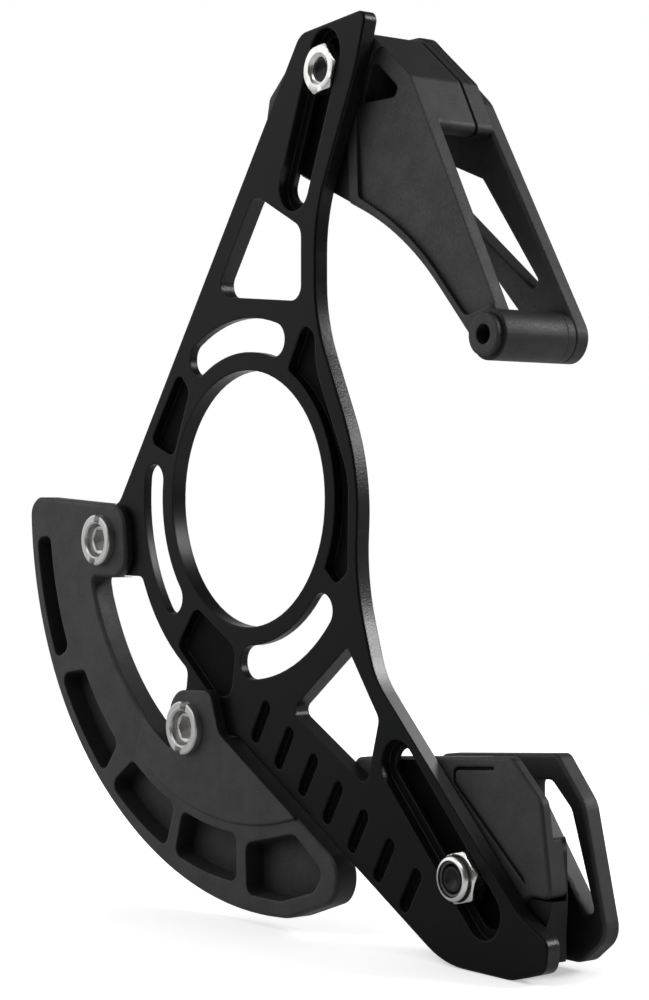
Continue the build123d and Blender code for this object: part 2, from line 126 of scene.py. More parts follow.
def cut_edges(tree, place, facing):
    """Two masks. A cut edge faces 60 degrees or more away from the Y axis. The outer rim is the cut edge
    beyond the tab slots, over 33 mm from the bore's axis. At the rear it comes closer to the axis, so
    there, where x + z / 4 is over 24 mm, it is the cut edge beyond the pocket, over 28 mm away."""
    edge_on = add(tree, "ShaderNodeMath", {"operation": "COMPARE"}, {0: facing, 1: 0.0, 2: 0.5}).outputs[0]
    flat = add(tree, "ShaderNodeVectorMath", {"operation": "MULTIPLY"}, {0: place, 1: (1.0, 0.0, 1.0)})
    away = add(tree, "ShaderNodeVectorMath", {"operation": "LENGTH"}, {0: flat.outputs["Vector"]})
    radius = away.outputs["Value"]
    past_slots = add(tree, "ShaderNodeMath", {"operation": "GREATER_THAN"}, {0: radius, 1: PAST_SLOTS})
    past_pocket = add(tree, "ShaderNodeMath", {"operation": "GREATER_THAN"}, {0: radius, 1: PAST_POCKET})
    along = add(tree, "ShaderNodeVectorMath", {"operation": "DOT_PRODUCT"}, {0: place, 1: REAR_WAY})
    behind = add(tree, "ShaderNodeMath", {"operation": "GREATER_THAN"},
                 {0: along.outputs["Value"], 1: REAR_START})
    rear_rim = add(tree, "ShaderNodeMath", {"operation": "MULTIPLY"},
                   {0: behind.outputs[0], 1: past_pocket.outputs[0]})
    beyond = add(tree, "ShaderNodeMath", {"operation": "MAXIMUM"},
                 {0: past_slots.outputs[0], 1: rear_rim.outputs[0]})
    rim = add(tree, "ShaderNodeMath", {"operation": "MULTIPLY"}, {0: edge_on, 1: beyond.outputs[0]})
    return edge_on, rim.outputs[0]


print("the outer rim starts", round(PAST_SLOTS / MM), "mm from the bore's axis")

# %% Where the rim has a painted highlight and where the plate is milled
HIGHLIGHT_TOP, HIGHLIGHT_FULL = -16 * MM, -27 * MM
HIGHLIGHT_FADE, HIGHLIGHT_END = -50 * MM, -62 * MM
HIGHLIGHT_FRONT = 5.3 * MM
FLOOR_DEPTH = 0.4 * MM


def painted_highlight_stretch(tree, place, rim):
    """A painted highlight: 1 on the rim behind the line x + z = 5.3 mm. It fades in from 16 to 27 mm below
    the bore's axis and out again from 50 to 62 mm below it."""
    height = add(tree, "ShaderNodeSeparateXYZ", {}, {"Vector": place}).outputs["Z"]
    slant = add(tree, "ShaderNodeVectorMath", {"operation": "DOT_PRODUCT"}, {0: place, 1: (1.0, 0.0, 1.0)})
    behind = add(tree, "ShaderNodeMath", {"operation": "GREATER_THAN"},
                 {0: slant.outputs["Value"], 1: HIGHLIGHT_FRONT})
    mask = add(tree, "ShaderNodeMath", {"operation": "MULTIPLY"}, {0: rim, 1: behind.outputs[0]})
    for bare, full in ((HIGHLIGHT_TOP, HIGHLIGHT_FULL), (HIGHLIGHT_END, HIGHLIGHT_FADE)):
        fade = add(tree, "ShaderNodeMapRange", {"interpolation_type": "SMOOTHSTEP"},
                   {"Value": height, "From Min": bare, "From Max": full, "To Min": 0.0, "To Max": 1.0})
        mask = add(tree, "ShaderNodeMath", {"operation": "MULTIPLY"},
                   {0: mask.outputs[0], 1: fade.outputs["Result"]})
    return mask.outputs[0]


def milled_floor(tree, place, facing):
    """1 on a face that points to the frame side and lies more than 0.4 mm under the plate's own face:
    the floors of the pockets and of the stepped slots."""
    depth = add(tree, "ShaderNodeSeparateXYZ", {}, {"Vector": place}).outputs["Y"]
    under = add(tree, "ShaderNodeMath", {"operation": "GREATER_THAN"}, {0: depth, 1: FLOOR_DEPTH})
    toward = add(tree, "ShaderNodeMath", {"operation": "LESS_THAN"}, {0: facing, 1: -0.5})
    floor = add(tree, "ShaderNodeMath", {"operation": "MULTIPLY"},
                {0: under.outputs[0], 1: toward.outputs[0]})
    return floor.outputs[0]


print("the scuffed stretch is", round((HIGHLIGHT_TOP - HIGHLIGHT_END) / MM), "mm tall")

# %% [markdown]
# Now the finish itself. Fine beads leave dimples about 0.1 mm wide. The picture has 5 pixels to a
# millimetre, so they are drawn at 0.35 mm. Corners lose some of their black in use, and their lighter
# colour is also a painted highlight along the edges. The Bevel node rounds the normal there, so how
# far that normal has turned tells where a corner is.

# %% Black anodised aluminium
GRAIN, PLATE_CLOUD, PLATE_CORNER = 0.35 * MM, 18 * MM, 0.45 * MM


def anodised_aluminium():
    """The look of a flat face, and over it in turn what each mask adds: its colour, its roughness and
    its depth of grain."""
    material, tree, out = new_material("black_anodised_aluminium")
    place = add(tree, "ShaderNodeTexCoord", {}, {}).outputs["Object"]
    surface = add(tree, "ShaderNodeNewGeometry", {}, {})
    facing = add(tree, "ShaderNodeVectorMath", {"operation": "DOT_PRODUCT"},
                 {0: surface.outputs["True Normal"], 1: (0.0, 1.0, 0.0)}).outputs["Value"]
    edge_on, rim = cut_edges(tree, place, facing)
    painted_highlight = painted_highlight_stretch(tree, place, rim)
    floor = milled_floor(tree, place, facing)

    cloud = add(tree, "ShaderNodeTexNoise", {}, {"Vector": place, "Scale": 1 / PLATE_CLOUD, "Detail": 3.0})
    rough = add(tree, "ShaderNodeMapRange", {},
                {"Value": cloud.outputs["Fac"], "From Min": 0.3, "From Max": 0.7, "To Min": 0.30,
                 "To Max": 0.38}).outputs["Result"]
    for mask, roughness in ((floor, 0.75), (painted_highlight, 0.5)):
        rough = add(tree, "ShaderNodeMix", {"data_type": "FLOAT"},
                    {"Factor": mask, 2: rough, 3: roughness}).outputs[0]

    corner = add(tree, "ShaderNodeBevel", {"samples": 4}, {"Radius": PLATE_CORNER}).outputs["Normal"]
    turn = add(tree, "ShaderNodeVectorMath", {"operation": "DOT_PRODUCT"},
               {0: corner, 1: surface.outputs["Normal"]})
    # The lighter corners are partly wear and partly a painted highlight along the edges.
    worn = add(tree, "ShaderNodeMapRange", {},
               {"Value": turn.outputs["Value"], "From Min": 0.97, "From Max": 0.80, "To Min": 0.0,
                "To Max": 0.55})
    tone = add(tree, "ShaderNodeMix", {"data_type": "RGBA"},
               {"Factor": worn.outputs["Result"], 6: colour("#0b0c0d"), 7: colour("#2c2d2f")}).outputs[2]
    # The light grey on the low rear stretch of the rim is a painted highlight.
    for mask, shade in ((edge_on, "#2b2b2b"), (rim, "#3b3b3b"), (painted_highlight, "#8c8c8c")):
        tone = add(tree, "ShaderNodeMix", {"data_type": "RGBA"},
                   {"Factor": mask, 6: tone, 7: colour(shade)}).outputs[2]
    thin = add(tree, "ShaderNodeMath", {"operation": "MULTIPLY"}, {0: edge_on, 1: 0.8})
    metal = add(tree, "ShaderNodeMath", {"operation": "MULTIPLY_ADD"},
                {0: painted_highlight, 1: -0.15, 2: thin.outputs[0]})

    grain = add(tree, "ShaderNodeTexNoise", {}, {"Vector": place, "Scale": 1 / GRAIN, "Detail": 2.0})
    depth = add(tree, "ShaderNodeMix", {"data_type": "FLOAT"}, {"Factor": rim, 2: 0.12, 3: 1.0})
    dimple = add(tree, "ShaderNodeBump", {},
                 {"Strength": depth.outputs[0], "Distance": 0.05 * MM, "Height": grain.outputs["Fac"],
                  "Normal": corner})
    shader = add(tree, "ShaderNodeBsdfPrincipled", {},
                 {"Base Color": tone, "Roughness": rough, "IOR": 1.18, "Metallic": metal.outputs[0],
                  "Normal": dimple.outputs["Normal"]})
    tree.links.new(shader.outputs["BSDF"], out.inputs["Surface"])
    return material


plate_black = anodised_aluminium()
print(plate_black.name, "has", len(plate_black.node_tree.nodes), "nodes")

# %% [markdown]
# The guides and the guard are glass-filled nylon, moulded in a tool whose faces were spark-eroded. That
# leaves a fine pitted skin, greyer than the plate in soft light, because each pit catches a little of
# it. Four more marks each have a mask again: painted black shade on a guide's foot where its slot
# shows it, painted black shade in the seam and lines of the mould, a lighter grey on part of a sill,
# and painted shade in the hollows.

# %% Painted shade on a guide's foot
UPPER_ANGLE, LOWER_ANGLE = math.radians(68.5), math.radians(-46.0)
SLOT_SHADE_HALF_WIDTH, SEATED = 5.5 * MM, 0.15 * MM


def painted_slot_shade(tree, place, normal):
    """Painted shade, where the slot shows a guide's foot: 1 on a face that points to the frame side and
    lies on the plate's outer face, within 5.5 mm of the line that its guide slides on. That line runs
    through the guide's nut at the slope a of its slot, so a point is (p - nut) . (-sin a, 0, cos a) away
    from it."""
    facing = add(tree, "ShaderNodeVectorMath", {"operation": "DOT_PRODUCT"},
                 {0: normal, 1: (0.0, -1.0, 0.0)})
    inward = add(tree, "ShaderNodeMath", {"operation": "GREATER_THAN"},
                 {0: facing.outputs["Value"], 1: 0.9})
    outboard = add(tree, "ShaderNodeSeparateXYZ", {}, {"Vector": place}).outputs["Y"]
    seated = add(tree, "ShaderNodeMath", {"operation": "COMPARE"},
                 {0: outboard, 1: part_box("backplate")[1].y, 2: SEATED})
    foot = add(tree, "ShaderNodeMath", {"operation": "MULTIPLY"},
               {0: inward.outputs[0], 1: seated.outputs[0]})
    beside = []
    for nut, angle in (("upper_guide_nut", UPPER_ANGLE), ("lower_guide_nut", LOWER_ANGLE)):
        low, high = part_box(nut)
        across = (-math.sin(angle), 0.0, math.cos(angle))
        middle = across[0] * (low.x + high.x) / 2 + across[2] * (low.z + high.z) / 2
        aside = add(tree, "ShaderNodeVectorMath", {"operation": "DOT_PRODUCT"}, {0: place, 1: across})
        beside.append(add(tree, "ShaderNodeMath", {"operation": "COMPARE"},
                          {0: aside.outputs["Value"], 1: middle, 2: SLOT_SHADE_HALF_WIDTH}).outputs[0])
    either = add(tree, "ShaderNodeMath", {"operation": "MAXIMUM"}, {0: beside[0], 1: beside[1]})
    slot_shade = add(tree, "ShaderNodeMath", {"operation": "MULTIPLY"},
                {0: foot.outputs[0], 1: either.outputs[0]})
    return slot_shade.outputs[0]


# %% Painted shade in the seam and the lines of the mould
SEAM, SEAM_HALF_WIDTH = 14.9 * MM, 0.32 * MM
FIRST_LINE, LINE_PITCH, LINE_HALF_WIDTH = 16.8 * MM, 1.35 * MM, 0.11
COVER_FROM = 58 * MM


def painted_line_shade(tree, place, normal):
    """Painted shade: 1 in the seam between the upper guide's halves, and 0.7 in three fine lines that the
    mould left beside it on top. A line is where the fraction of (y - 16.8 mm) / 1.35 mm + 0.5 is within
    0.11 of 0.5. Both are only where z is over 58 mm, on faces that look away from the Y axis."""
    at = add(tree, "ShaderNodeSeparateXYZ", {}, {"Vector": place})
    turned_to = add(tree, "ShaderNodeSeparateXYZ", {}, {"Vector": normal})
    aside = add(tree, "ShaderNodeMath", {"operation": "COMPARE"},
                {0: turned_to.outputs["Y"], 1: 0.0, 2: 0.5})
    high = add(tree, "ShaderNodeMath", {"operation": "GREATER_THAN"}, {0: at.outputs["Z"], 1: COVER_FROM})
    here = add(tree, "ShaderNodeMath", {"operation": "MULTIPLY"},
               {0: aside.outputs[0], 1: high.outputs[0]})
    seam = add(tree, "ShaderNodeMath", {"operation": "COMPARE"},
               {0: at.outputs["Y"], 1: SEAM, 2: SEAM_HALF_WIDTH})

    count = add(tree, "ShaderNodeMath", {"operation": "MULTIPLY_ADD"},
                {0: at.outputs["Y"], 1: 1 / LINE_PITCH, 2: 0.5 - FIRST_LINE / LINE_PITCH})
    part = add(tree, "ShaderNodeMath", {"operation": "FRACT"}, {0: count.outputs[0]})
    line = add(tree, "ShaderNodeMath", {"operation": "COMPARE"},
               {0: part.outputs[0], 1: 0.5, 2: LINE_HALF_WIDTH})
    three = add(tree, "ShaderNodeMath", {"operation": "COMPARE"},
                {0: at.outputs["Y"], 1: FIRST_LINE + LINE_PITCH, 2: 1.3 * LINE_PITCH})
    top = add(tree, "ShaderNodeMath", {"operation": "GREATER_THAN"}, {0: turned_to.outputs["Z"], 1: 0.6})
    faint = add(tree, "ShaderNodeMath", {"operation": "MULTIPLY"}, {0: line.outputs[0], 1: 0.7})
    for mask in (three, top):
        faint = add(tree, "ShaderNodeMath", {"operation": "MULTIPLY"},
                    {0: faint.outputs[0], 1: mask.outputs[0]})
    either = add(tree, "ShaderNodeMath", {"operation": "MAXIMUM"},
                 {0: seam.outputs[0], 1: faint.outputs[0]})
    drawn = add(tree, "ShaderNodeMath", {"operation": "MULTIPLY"},
                {0: here.outputs[0], 1: either.outputs[0]})
    return drawn.outputs[0]


print("mould lines at y", [round((FIRST_LINE + i * LINE_PITCH) / MM, 2) for i in range(3)], "mm")

# %% A lighter grey on the sill of the lower guide's window
SILL_WAY, SILL_AT, SILL_DEPTH = (0.8036, 0.0, 0.5952), 19.7 * MM, 0.6 * MM
SILL_GREY_FROM, SILL_GREY_FULL, WAVE = 15.0 * MM, 15.5 * MM, 3 * MM


def lighter_sill(tree, place, normal, patch):
    """1 on the sill of the lower guide's window, which is the plane p . (0.80, 0, 0.60) = 19.7 mm, where
    y plus 3 mm times the noise is over 15.5 mm, so that the lighter grey ends in a wavy line."""
    level = add(tree, "ShaderNodeVectorMath", {"operation": "DOT_PRODUCT"}, {0: place, 1: SILL_WAY})
    on_sill = add(tree, "ShaderNodeMath", {"operation": "COMPARE"},
                  {0: level.outputs["Value"], 1: SILL_AT, 2: SILL_DEPTH})
    turned_to = add(tree, "ShaderNodeVectorMath", {"operation": "DOT_PRODUCT"}, {0: normal, 1: SILL_WAY})
    faces = add(tree, "ShaderNodeMath", {"operation": "GREATER_THAN"},
                {0: turned_to.outputs["Value"], 1: 0.9})
    there = add(tree, "ShaderNodeMath", {"operation": "MULTIPLY"},
                {0: on_sill.outputs[0], 1: faces.outputs[0]})
    outboard = add(tree, "ShaderNodeSeparateXYZ", {}, {"Vector": place}).outputs["Y"]
    wavy = add(tree, "ShaderNodeMath", {"operation": "MULTIPLY_ADD"}, {0: patch, 1: WAVE, 2: outboard})
    worn = add(tree, "ShaderNodeMapRange", {},
               {"Value": wavy.outputs[0], "From Min": SILL_GREY_FROM, "From Max": SILL_GREY_FULL, "To Min": 0.0,
                "To Max": 1.0})
    sill_grey = add(tree, "ShaderNodeMath", {"operation": "MULTIPLY"},
                 {0: there.outputs[0], 1: worn.outputs["Result"]})
    return sill_grey.outputs[0]


print("the sill slopes", round(math.degrees(math.atan2(SILL_WAY[0], SILL_WAY[2])), 1), "degrees")

# %% [markdown]
# The skin has two noises: the pits, which are about 0.1 mm wide and drawn at 0.35 mm so that they show,
# and patches of 4.5 mm where the glass fibres lie closer under it. Hollows are painted black and dull,
# a painted shade, because soft light hardly reaches their floors. Ambient Occlusion measures how much
# open air a point sees.

# %% Black glass-filled nylon
PIT, PATCH, HOLLOW_SHADE_REACH, NYLON_CORNER = 0.35 * MM, 4.5 * MM, 22 * MM, 0.6 * MM


def moulded_nylon():
    """The pitted skin, and over it in turn the painted shade of the hollows, the lighter grey sill and
    what is painted black as shade: the foot where its slot shows it, and the seam and the mould lines.
    Black places are metallic with a near-black colour, which reflects almost nothing."""
    material, tree, out = new_material("black_moulded_nylon")
    place = add(tree, "ShaderNodeTexCoord", {}, {}).outputs["Object"]
    normal = add(tree, "ShaderNodeNewGeometry", {}, {}).outputs["True Normal"]
    pits = add(tree, "ShaderNodeTexNoise", {},
               {"Vector": place, "Scale": 1 / PIT, "Detail": 2.0}).outputs["Fac"]
    patch = add(tree, "ShaderNodeTexNoise", {},
                {"Vector": place, "Scale": 1 / PATCH, "Detail": 4.0}).outputs["Fac"]
    slot_shade = painted_slot_shade(tree, place, normal)
    line_shade = painted_line_shade(tree, place, normal)
    # What is black here is painted shade: the foot where its slot shows it, the seam and the mould lines.
    painted_black = add(tree, "ShaderNodeMath", {"operation": "MAXIMUM"}, {0: slot_shade, 1: line_shade}).outputs[0]
    sill_grey = lighter_sill(tree, place, normal, patch)
    air = add(tree, "ShaderNodeAmbientOcclusion", {"samples": 4, "only_local": True}, {"Distance": HOLLOW_SHADE_REACH})
    # The hollows get painted shade: where Ambient Occlusion finds little open air, the colour goes near
    # black.
    hollow = add(tree, "ShaderNodeMapRange", {},
                 {"Value": air.outputs["AO"], "From Min": 0.8, "From Max": 0.45, "To Min": 0.0,
                  "To Max": 1.0}).outputs["Result"]

    blotch = add(tree, "ShaderNodeMapRange", {},
                 {"Value": patch, "From Min": 0.35, "From Max": 0.65, "To Min": 0.0,
                  "To Max": 1.0}).outputs["Result"]
    tone = add(tree, "ShaderNodeMix", {"data_type": "RGBA"},
               {"Factor": blotch, 6: colour("#131314"), 7: colour("#1d1d1d")}).outputs[2]
    # Painted shade in the hollows, then a lighter grey on the sill, then what is painted black as shade.
    for mask, shade in ((hollow, "#050505"), (sill_grey, "#606060"), (painted_black, "#060606")):
        tone = add(tree, "ShaderNodeMix", {"data_type": "RGBA"},
                   {"Factor": mask, 6: tone, 7: colour(shade)}).outputs[2]
    pitting = add(tree, "ShaderNodeMapRange", {},
                  {"Value": pits, "From Min": 0.3, "From Max": 0.7, "To Min": 0.54, "To Max": 0.66})
    rough = add(tree, "ShaderNodeMath", {"operation": "MULTIPLY_ADD"},
                {0: blotch, 1: -0.05, 2: pitting.outputs["Result"]})
    dull = add(tree, "ShaderNodeMix", {"data_type": "FLOAT"},
               {"Factor": hollow, 2: rough.outputs[0], 3: 1.0})
    corner = add(tree, "ShaderNodeBevel", {"samples": 4}, {"Radius": NYLON_CORNER})
    relief = add(tree, "ShaderNodeBump", {},
                 {"Strength": 0.4, "Distance": 0.06 * MM, "Height": pits,
                  "Normal": corner.outputs["Normal"]})
    shader = add(tree, "ShaderNodeBsdfPrincipled", {},
                 {"Base Color": tone, "Roughness": dull.outputs[0], "IOR": 1.53, "Metallic": painted_black,
                  "Normal": relief.outputs["Normal"]})
    tree.links.new(shader.outputs["BSDF"], out.inputs["Surface"])
    return material


nylon_black = moulded_nylon()
print(nylon_black.name, "has", len(nylon_black.node_tree.nodes), "nodes")

# %% [markdown]
# Nuts are steel with bright zinc on it: a metal, so its colour is in the reflection. Barrel plating
# leaves faint clouds, which vary the tone and the roughness a little. The guard's fasteners have the
# same zinc, gone dull. The screws are blackened: their oxide is a thin dark film that hides the metal,
# so they are set as a dark dielectric, a little shinier than the plate. The two inserts are brass.

# %% Zinc, black oxide and brass
def plated_steel(name, dark, light, rough_low, rough_high, metallic, ior=1.5):
    """Tone and gleam vary in clouds about 2 mm wide. Metallic is 1 for a metal and 0 for a dark film."""
    material, tree, out = new_material(name)
    place = add(tree, "ShaderNodeTexCoord", {}, {}).outputs["Object"]
    cloud = add(tree, "ShaderNodeTexNoise", {}, {"Vector": place, "Scale": 1 / (2 * MM), "Detail": 3.0})
    tone = add(tree, "ShaderNodeMix", {"data_type": "RGBA"},
               {"Factor": cloud.outputs["Fac"], 6: colour(dark), 7: colour(light)})
    rough = add(tree, "ShaderNodeMapRange", {},
                {"Value": cloud.outputs["Fac"], "From Min": 0.3, "From Max": 0.7, "To Min": rough_low,
                 "To Max": rough_high})
    shader = add(tree, "ShaderNodeBsdfPrincipled", {},
                 {"Base Color": tone.outputs[2], "Roughness": rough.outputs["Result"], "Metallic": metallic,
                  "IOR": ior})
    tree.links.new(shader.outputs["BSDF"], out.inputs["Surface"])
    return material


zinc = plated_steel("zinc_plated_steel", "#d6d6d4", "#e2e1de", 0.22, 0.27, 1.0)
dull_zinc = plated_steel("worn_zinc_plated_steel", "#b4b4b3", "#cdccca", 0.30, 0.40, 1.0)
oxide = plated_steel("black_oxide_steel", "#0b0b0c", "#141415", 0.36, 0.46, 0.0, 1.32)
brass = plated_steel("turned_brass", "#b08a45", "#c9a257", 0.25, 0.38, 1.0)
print([m.name for m in (zinc, dull_zinc, oxide, brass)])

# %% [markdown]
# Two small parts have their own stuff: the block that the chain rubs on is a dark, slightly waxy
# elastomer, and the ring of the lock nut is plain nylon. Both are moulded, so both ripple a little.

# %% Elastomer and plain nylon
def soft_plastic(name, dark, light, rough, ior):
    """A dielectric with a slow change of tone and a shallow, wide ripple from the mould."""
    material, tree, out = new_material(name)
    place = add(tree, "ShaderNodeTexCoord", {}, {}).outputs["Object"]
    patch = add(tree, "ShaderNodeTexNoise", {}, {"Vector": place, "Scale": 1 / (5 * MM), "Detail": 3.0})
    tone = add(tree, "ShaderNodeMix", {"data_type": "RGBA"},
               {"Factor": patch.outputs["Fac"], 6: colour(dark), 7: colour(light)})
    ripple = add(tree, "ShaderNodeBump", {},
                 {"Strength": 0.2, "Distance": 0.1 * MM, "Height": patch.outputs["Fac"]})
    shader = add(tree, "ShaderNodeBsdfPrincipled", {},
                 {"Base Color": tone.outputs[2], "Roughness": rough, "IOR": ior,
                  "Normal": ripple.outputs["Normal"]})
    tree.links.new(shader.outputs["BSDF"], out.inputs["Surface"])
    return material


elastomer = soft_plastic("slider_elastomer", "#070708", "#0c0c0d", 0.55, 1.32)
clear_nylon = soft_plastic("plain_nylon", "#303336", "#3c3f43", 0.35, 1.53)
print([m.name for m in (elastomer, clear_nylon)])

# %% [markdown]
# The CAD parts keep their own meshes. Only the material of each is set here, by the part's name.

# %% Each part gets its finish
finish = {
    "backplate": plate_black,
    "bash_guard": nylon_black,
    "guard_nut_upper": dull_zinc,
    "guard_nut_lower": dull_zinc,
    "guard_bolt_upper": dull_zinc,
    "guard_bolt_lower": dull_zinc,
    "upper_guide_inner": nylon_black,
    "upper_guide_outer": nylon_black,
    "upper_guide_bolt": oxide,
    "upper_guide_washer": zinc,
    "upper_guide_nut": zinc,
    "upper_cross_screw": oxide,
    "upper_cross_insert": brass,
    "lower_guide_inner": nylon_black,
    "lower_guide_outer": nylon_black,
    "chain_slider": elastomer,
    "lower_guide_bolt": oxide,
    "lower_guide_washer": zinc,
    "lower_guide_nut": zinc,
    "lower_nut_ring": clear_nylon,
    "lower_guide_screw": oxide,
    "lower_screw_insert": brass,
}
for name, material in finish.items():
    part = nodes[name]
    part.data.materials.clear()
    part.data.materials.append(material)
print(sorted(set(nodes) - set(finish)) or "every part has a finish")

# %% [markdown]
# Nuts and screws are turned on a lathe, so each is one surface: rings of points, one for each step of a
# profile, laid from one end over the skin to the other. A hexagon, a thread or a knurl is a ring whose
# radius changes with the angle. Each new piece takes the place of its plain CAD solid.

# %% A turned part as one surface
AROUND, SHARP = 144, math.radians(32)
angles = np.linspace(0.0, 2 * np.pi, AROUND, endpoint=False)


def rings(*steps):
    """Steps of (height, radius) as two grids with a row for each ring. A number holds for a whole ring,
    a column gives one ring per row, and a full row changes with the angle."""
    grids = [np.broadcast_arrays(np.atleast_2d(y), np.atleast_2d(r), angles[None, :])[:2] for y, r in steps]
    return np.vstack([g[0] for g in grids]), np.vstack([g[1] for g in grids])


def turned(node, body, material, grids, hollow):
    """The point at height y, radius r and angle a is (x0 + r cos a, y, z0 + r sin a), about the middle of
    the CAD solid. A hollow part's last ring joins its first, and any other part is closed by a flat end
    at its first and last ring."""
    low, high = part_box(node)
    y, r = (g * MM for g in grids)
    x = (low.x + high.x) / 2 + r * np.cos(angles)
    z = (low.z + high.z) / 2 + r * np.sin(angles)
    count = len(y)
    index = np.arange(count * AROUND).reshape(count, AROUND)
    here = index if hollow else index[:-1]
    above = np.roll(index, -1, axis=0) if hollow else index[1:]
    quads = np.stack([here, above, np.roll(above, -1, axis=1), np.roll(here, -1, axis=1)], axis=-1)
    faces = quads.reshape(-1, 4).tolist()
    if not hollow:
        faces += [index[0].tolist(), index[-1, ::-1].tolist()]
    mesh = bpy.data.meshes.new(node + "_turned")
    mesh.from_pydata(np.stack([x, y, z], axis=-1).reshape(-1, 3).tolist(), [], faces)
    mesh.polygons.foreach_set("use_smooth", np.ones(len(mesh.polygons), bool))
    mesh.set_sharp_from_angle(angle=SHARP)
    mesh.materials.append(material)
    piece = bpy.data.objects.new(node + "_turned", mesh)
    bpy.context.scene.collection.objects.link(piece)
    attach(piece, body)
    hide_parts(node)
    print(piece.name, len(faces), "faces")


def heights(node):
    """The lowest and highest height of a CAD solid, in mm."""
    low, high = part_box(node)
    return low.y / MM, high.y / MM


plate_far = heights("backplate")[1]
print("the plate is", round(plate_far, 2), "mm thick")

# %% [markdown]
# The next helpers give what changes around or along a turned part. They and every profile below are in
# millimetres. A thread is given by its outer radius, its pitch and its depth. A nut's is cut 0.02 mm
# wide of the true radius and a bolt's 0.02 mm short of it, so that the two never touch.

# %% Hexagon, thread, column of rings and rounded edge
def hexagon(width, corner_at=0.0):
    """Half the width over the cosine of the angle from the middle of the nearest flat. The corners are
    blunted to 98 percent of their full radius."""
    from_flat = np.mod(angles - corner_at, np.pi / 3) - np.pi / 6
    return np.minimum(width / 2 / np.cos(from_flat), 0.98 * width / np.sqrt(3))


def thread(y, outer, pitch, depth):
    """The radius dips by the depth once in each pitch, and the dip moves along with the angle."""
    return outer - depth * (0.5 - 0.5 * np.cos(2 * np.pi * y / pitch - angles[None, :]))


def column(start, stop, step):
    """Heights from start to stop, one ring each."""
    return np.linspace(start, stop, max(2, int(abs(stop - start) / step) + 1))[:, None]


def arc(degrees, count):
    """Angles from 0 to the one given, one ring each, for a rounded edge."""
    return np.radians(np.linspace(0, degrees, count))[:, None]


M5, M5_PITCH, M5_DEPTH = 2.5, 0.8, 0.42
M3, M3_PITCH, M3_DEPTH = 1.5, 0.5, 0.27
RUN = 0.02
print("an M5 thread is", round(2 * (M5 - M5_DEPTH), 2), "mm at its root")

# %% [markdown]
# The upper nut is a plain hexagon. A cone of 30 degrees takes its corners off, which is what draws the
# arcs on its flats. The lower one is a lock nut: its collar is rolled inwards over a nylon ring. Each
# lies in the step of its slot, and stops 0.01 mm short of it, so that the two skins stay apart.

# %% The upper guide's nut
NUT_WIDTH, NUT_FACE, NUT_MOUTH = 8.0, 3.9, 2.8
CORNER_SLOPE = 1 / math.tan(math.radians(30))
LEAD_IN, TURN_STEP, SEAT_GAP = 0.35, 0.08, 0.01


def nut_side(near, far, corner_at):
    """Heights and radii of a hexagon whose corners lie under a cone at each end."""
    cut = np.array([0.0, 0.1, 0.2, 0.3, 0.45, 0.6])
    y = np.concatenate([near + cut, far - cut[::-1]])[:, None]
    cone = NUT_FACE + np.minimum(y - near, far - y) * CORNER_SLOPE
    return y, np.minimum(hexagon(NUT_WIDTH, corner_at), cone)


near, far = heights("upper_guide_nut")
far -= SEAT_GAP
inside = column(far - LEAD_IN, near + LEAD_IN, TURN_STEP)
turned("upper_guide_nut", "upper_guide", zinc, rings(
    nut_side(near, far, UPPER_ANGLE), (far, NUT_MOUTH),
    (inside, thread(inside, M5 + RUN, M5_PITCH, M5_DEPTH)), (near + 0.1, M5 + 0.15), (near, M5 + 0.3)), True)

# %% The lower guide's lock nut
COLLAR, ROLL, COLLAR_FOOT, COLLAR_BORE = 3.75, 0.75, 3.85, 3.02
near, far = heights("lower_guide_nut")
far -= SEAT_GAP
ring_near, ring_far = heights("lower_nut_ring")
roll = arc(90, 8)
inside = column(far - LEAD_IN, ring_far + 0.05, TURN_STEP)
turned("lower_guide_nut", "lower_guide", zinc, rings(
    (near + ROLL - ROLL * np.cos(roll), COLLAR - ROLL + ROLL * np.sin(roll)),
    (ring_far - 0.3, COLLAR), (ring_far - 0.05, COLLAR_FOOT),
    nut_side(ring_far, far, LOWER_ANGLE), (far, NUT_MOUTH),
    (inside, thread(inside, M5 + RUN, M5_PITCH, M5_DEPTH)),
    (ring_far, COLLAR_BORE), (near + 0.2, COLLAR_BORE)), True)

# %% The nylon ring of the lock nut
RING_BORE, RING_EDGE, DOME = 2.45, 2.99, 0.25
ring_middle, ring_half = (RING_BORE + RING_EDGE) / 2, (RING_EDGE - RING_BORE) / 2
dome = arc(180, 12)
turned("lower_nut_ring", "lower_guide", clear_nylon, rings(
    (ring_near + DOME - DOME * np.sin(dome), ring_middle - ring_half * np.cos(dome)),
    (ring_far - 0.05, RING_EDGE), (ring_far - 0.05, RING_BORE)), True)

# %% [markdown]
# The screws have a knurled head with a hexagon socket, a plain neck and a thread as far as the tip. The
# end of each guide bolt shows inside its nut, so the tip is dished, as a rolled thread's is.

# %% Four cap screws
KNURLS, KNURL_DEPTH, HEAD_ROUND, THREADED = 24, 0.05, 0.4, 14.0
GUIDE_HEAD, GUIDE_HEAD_HEIGHT, GUIDE_SOCKET = 4.75, 2.8, 3.0
SMALL_HEAD, SMALL_HEAD_HEIGHT, SMALL_SOCKET = 2.8, 1.7, 2.0


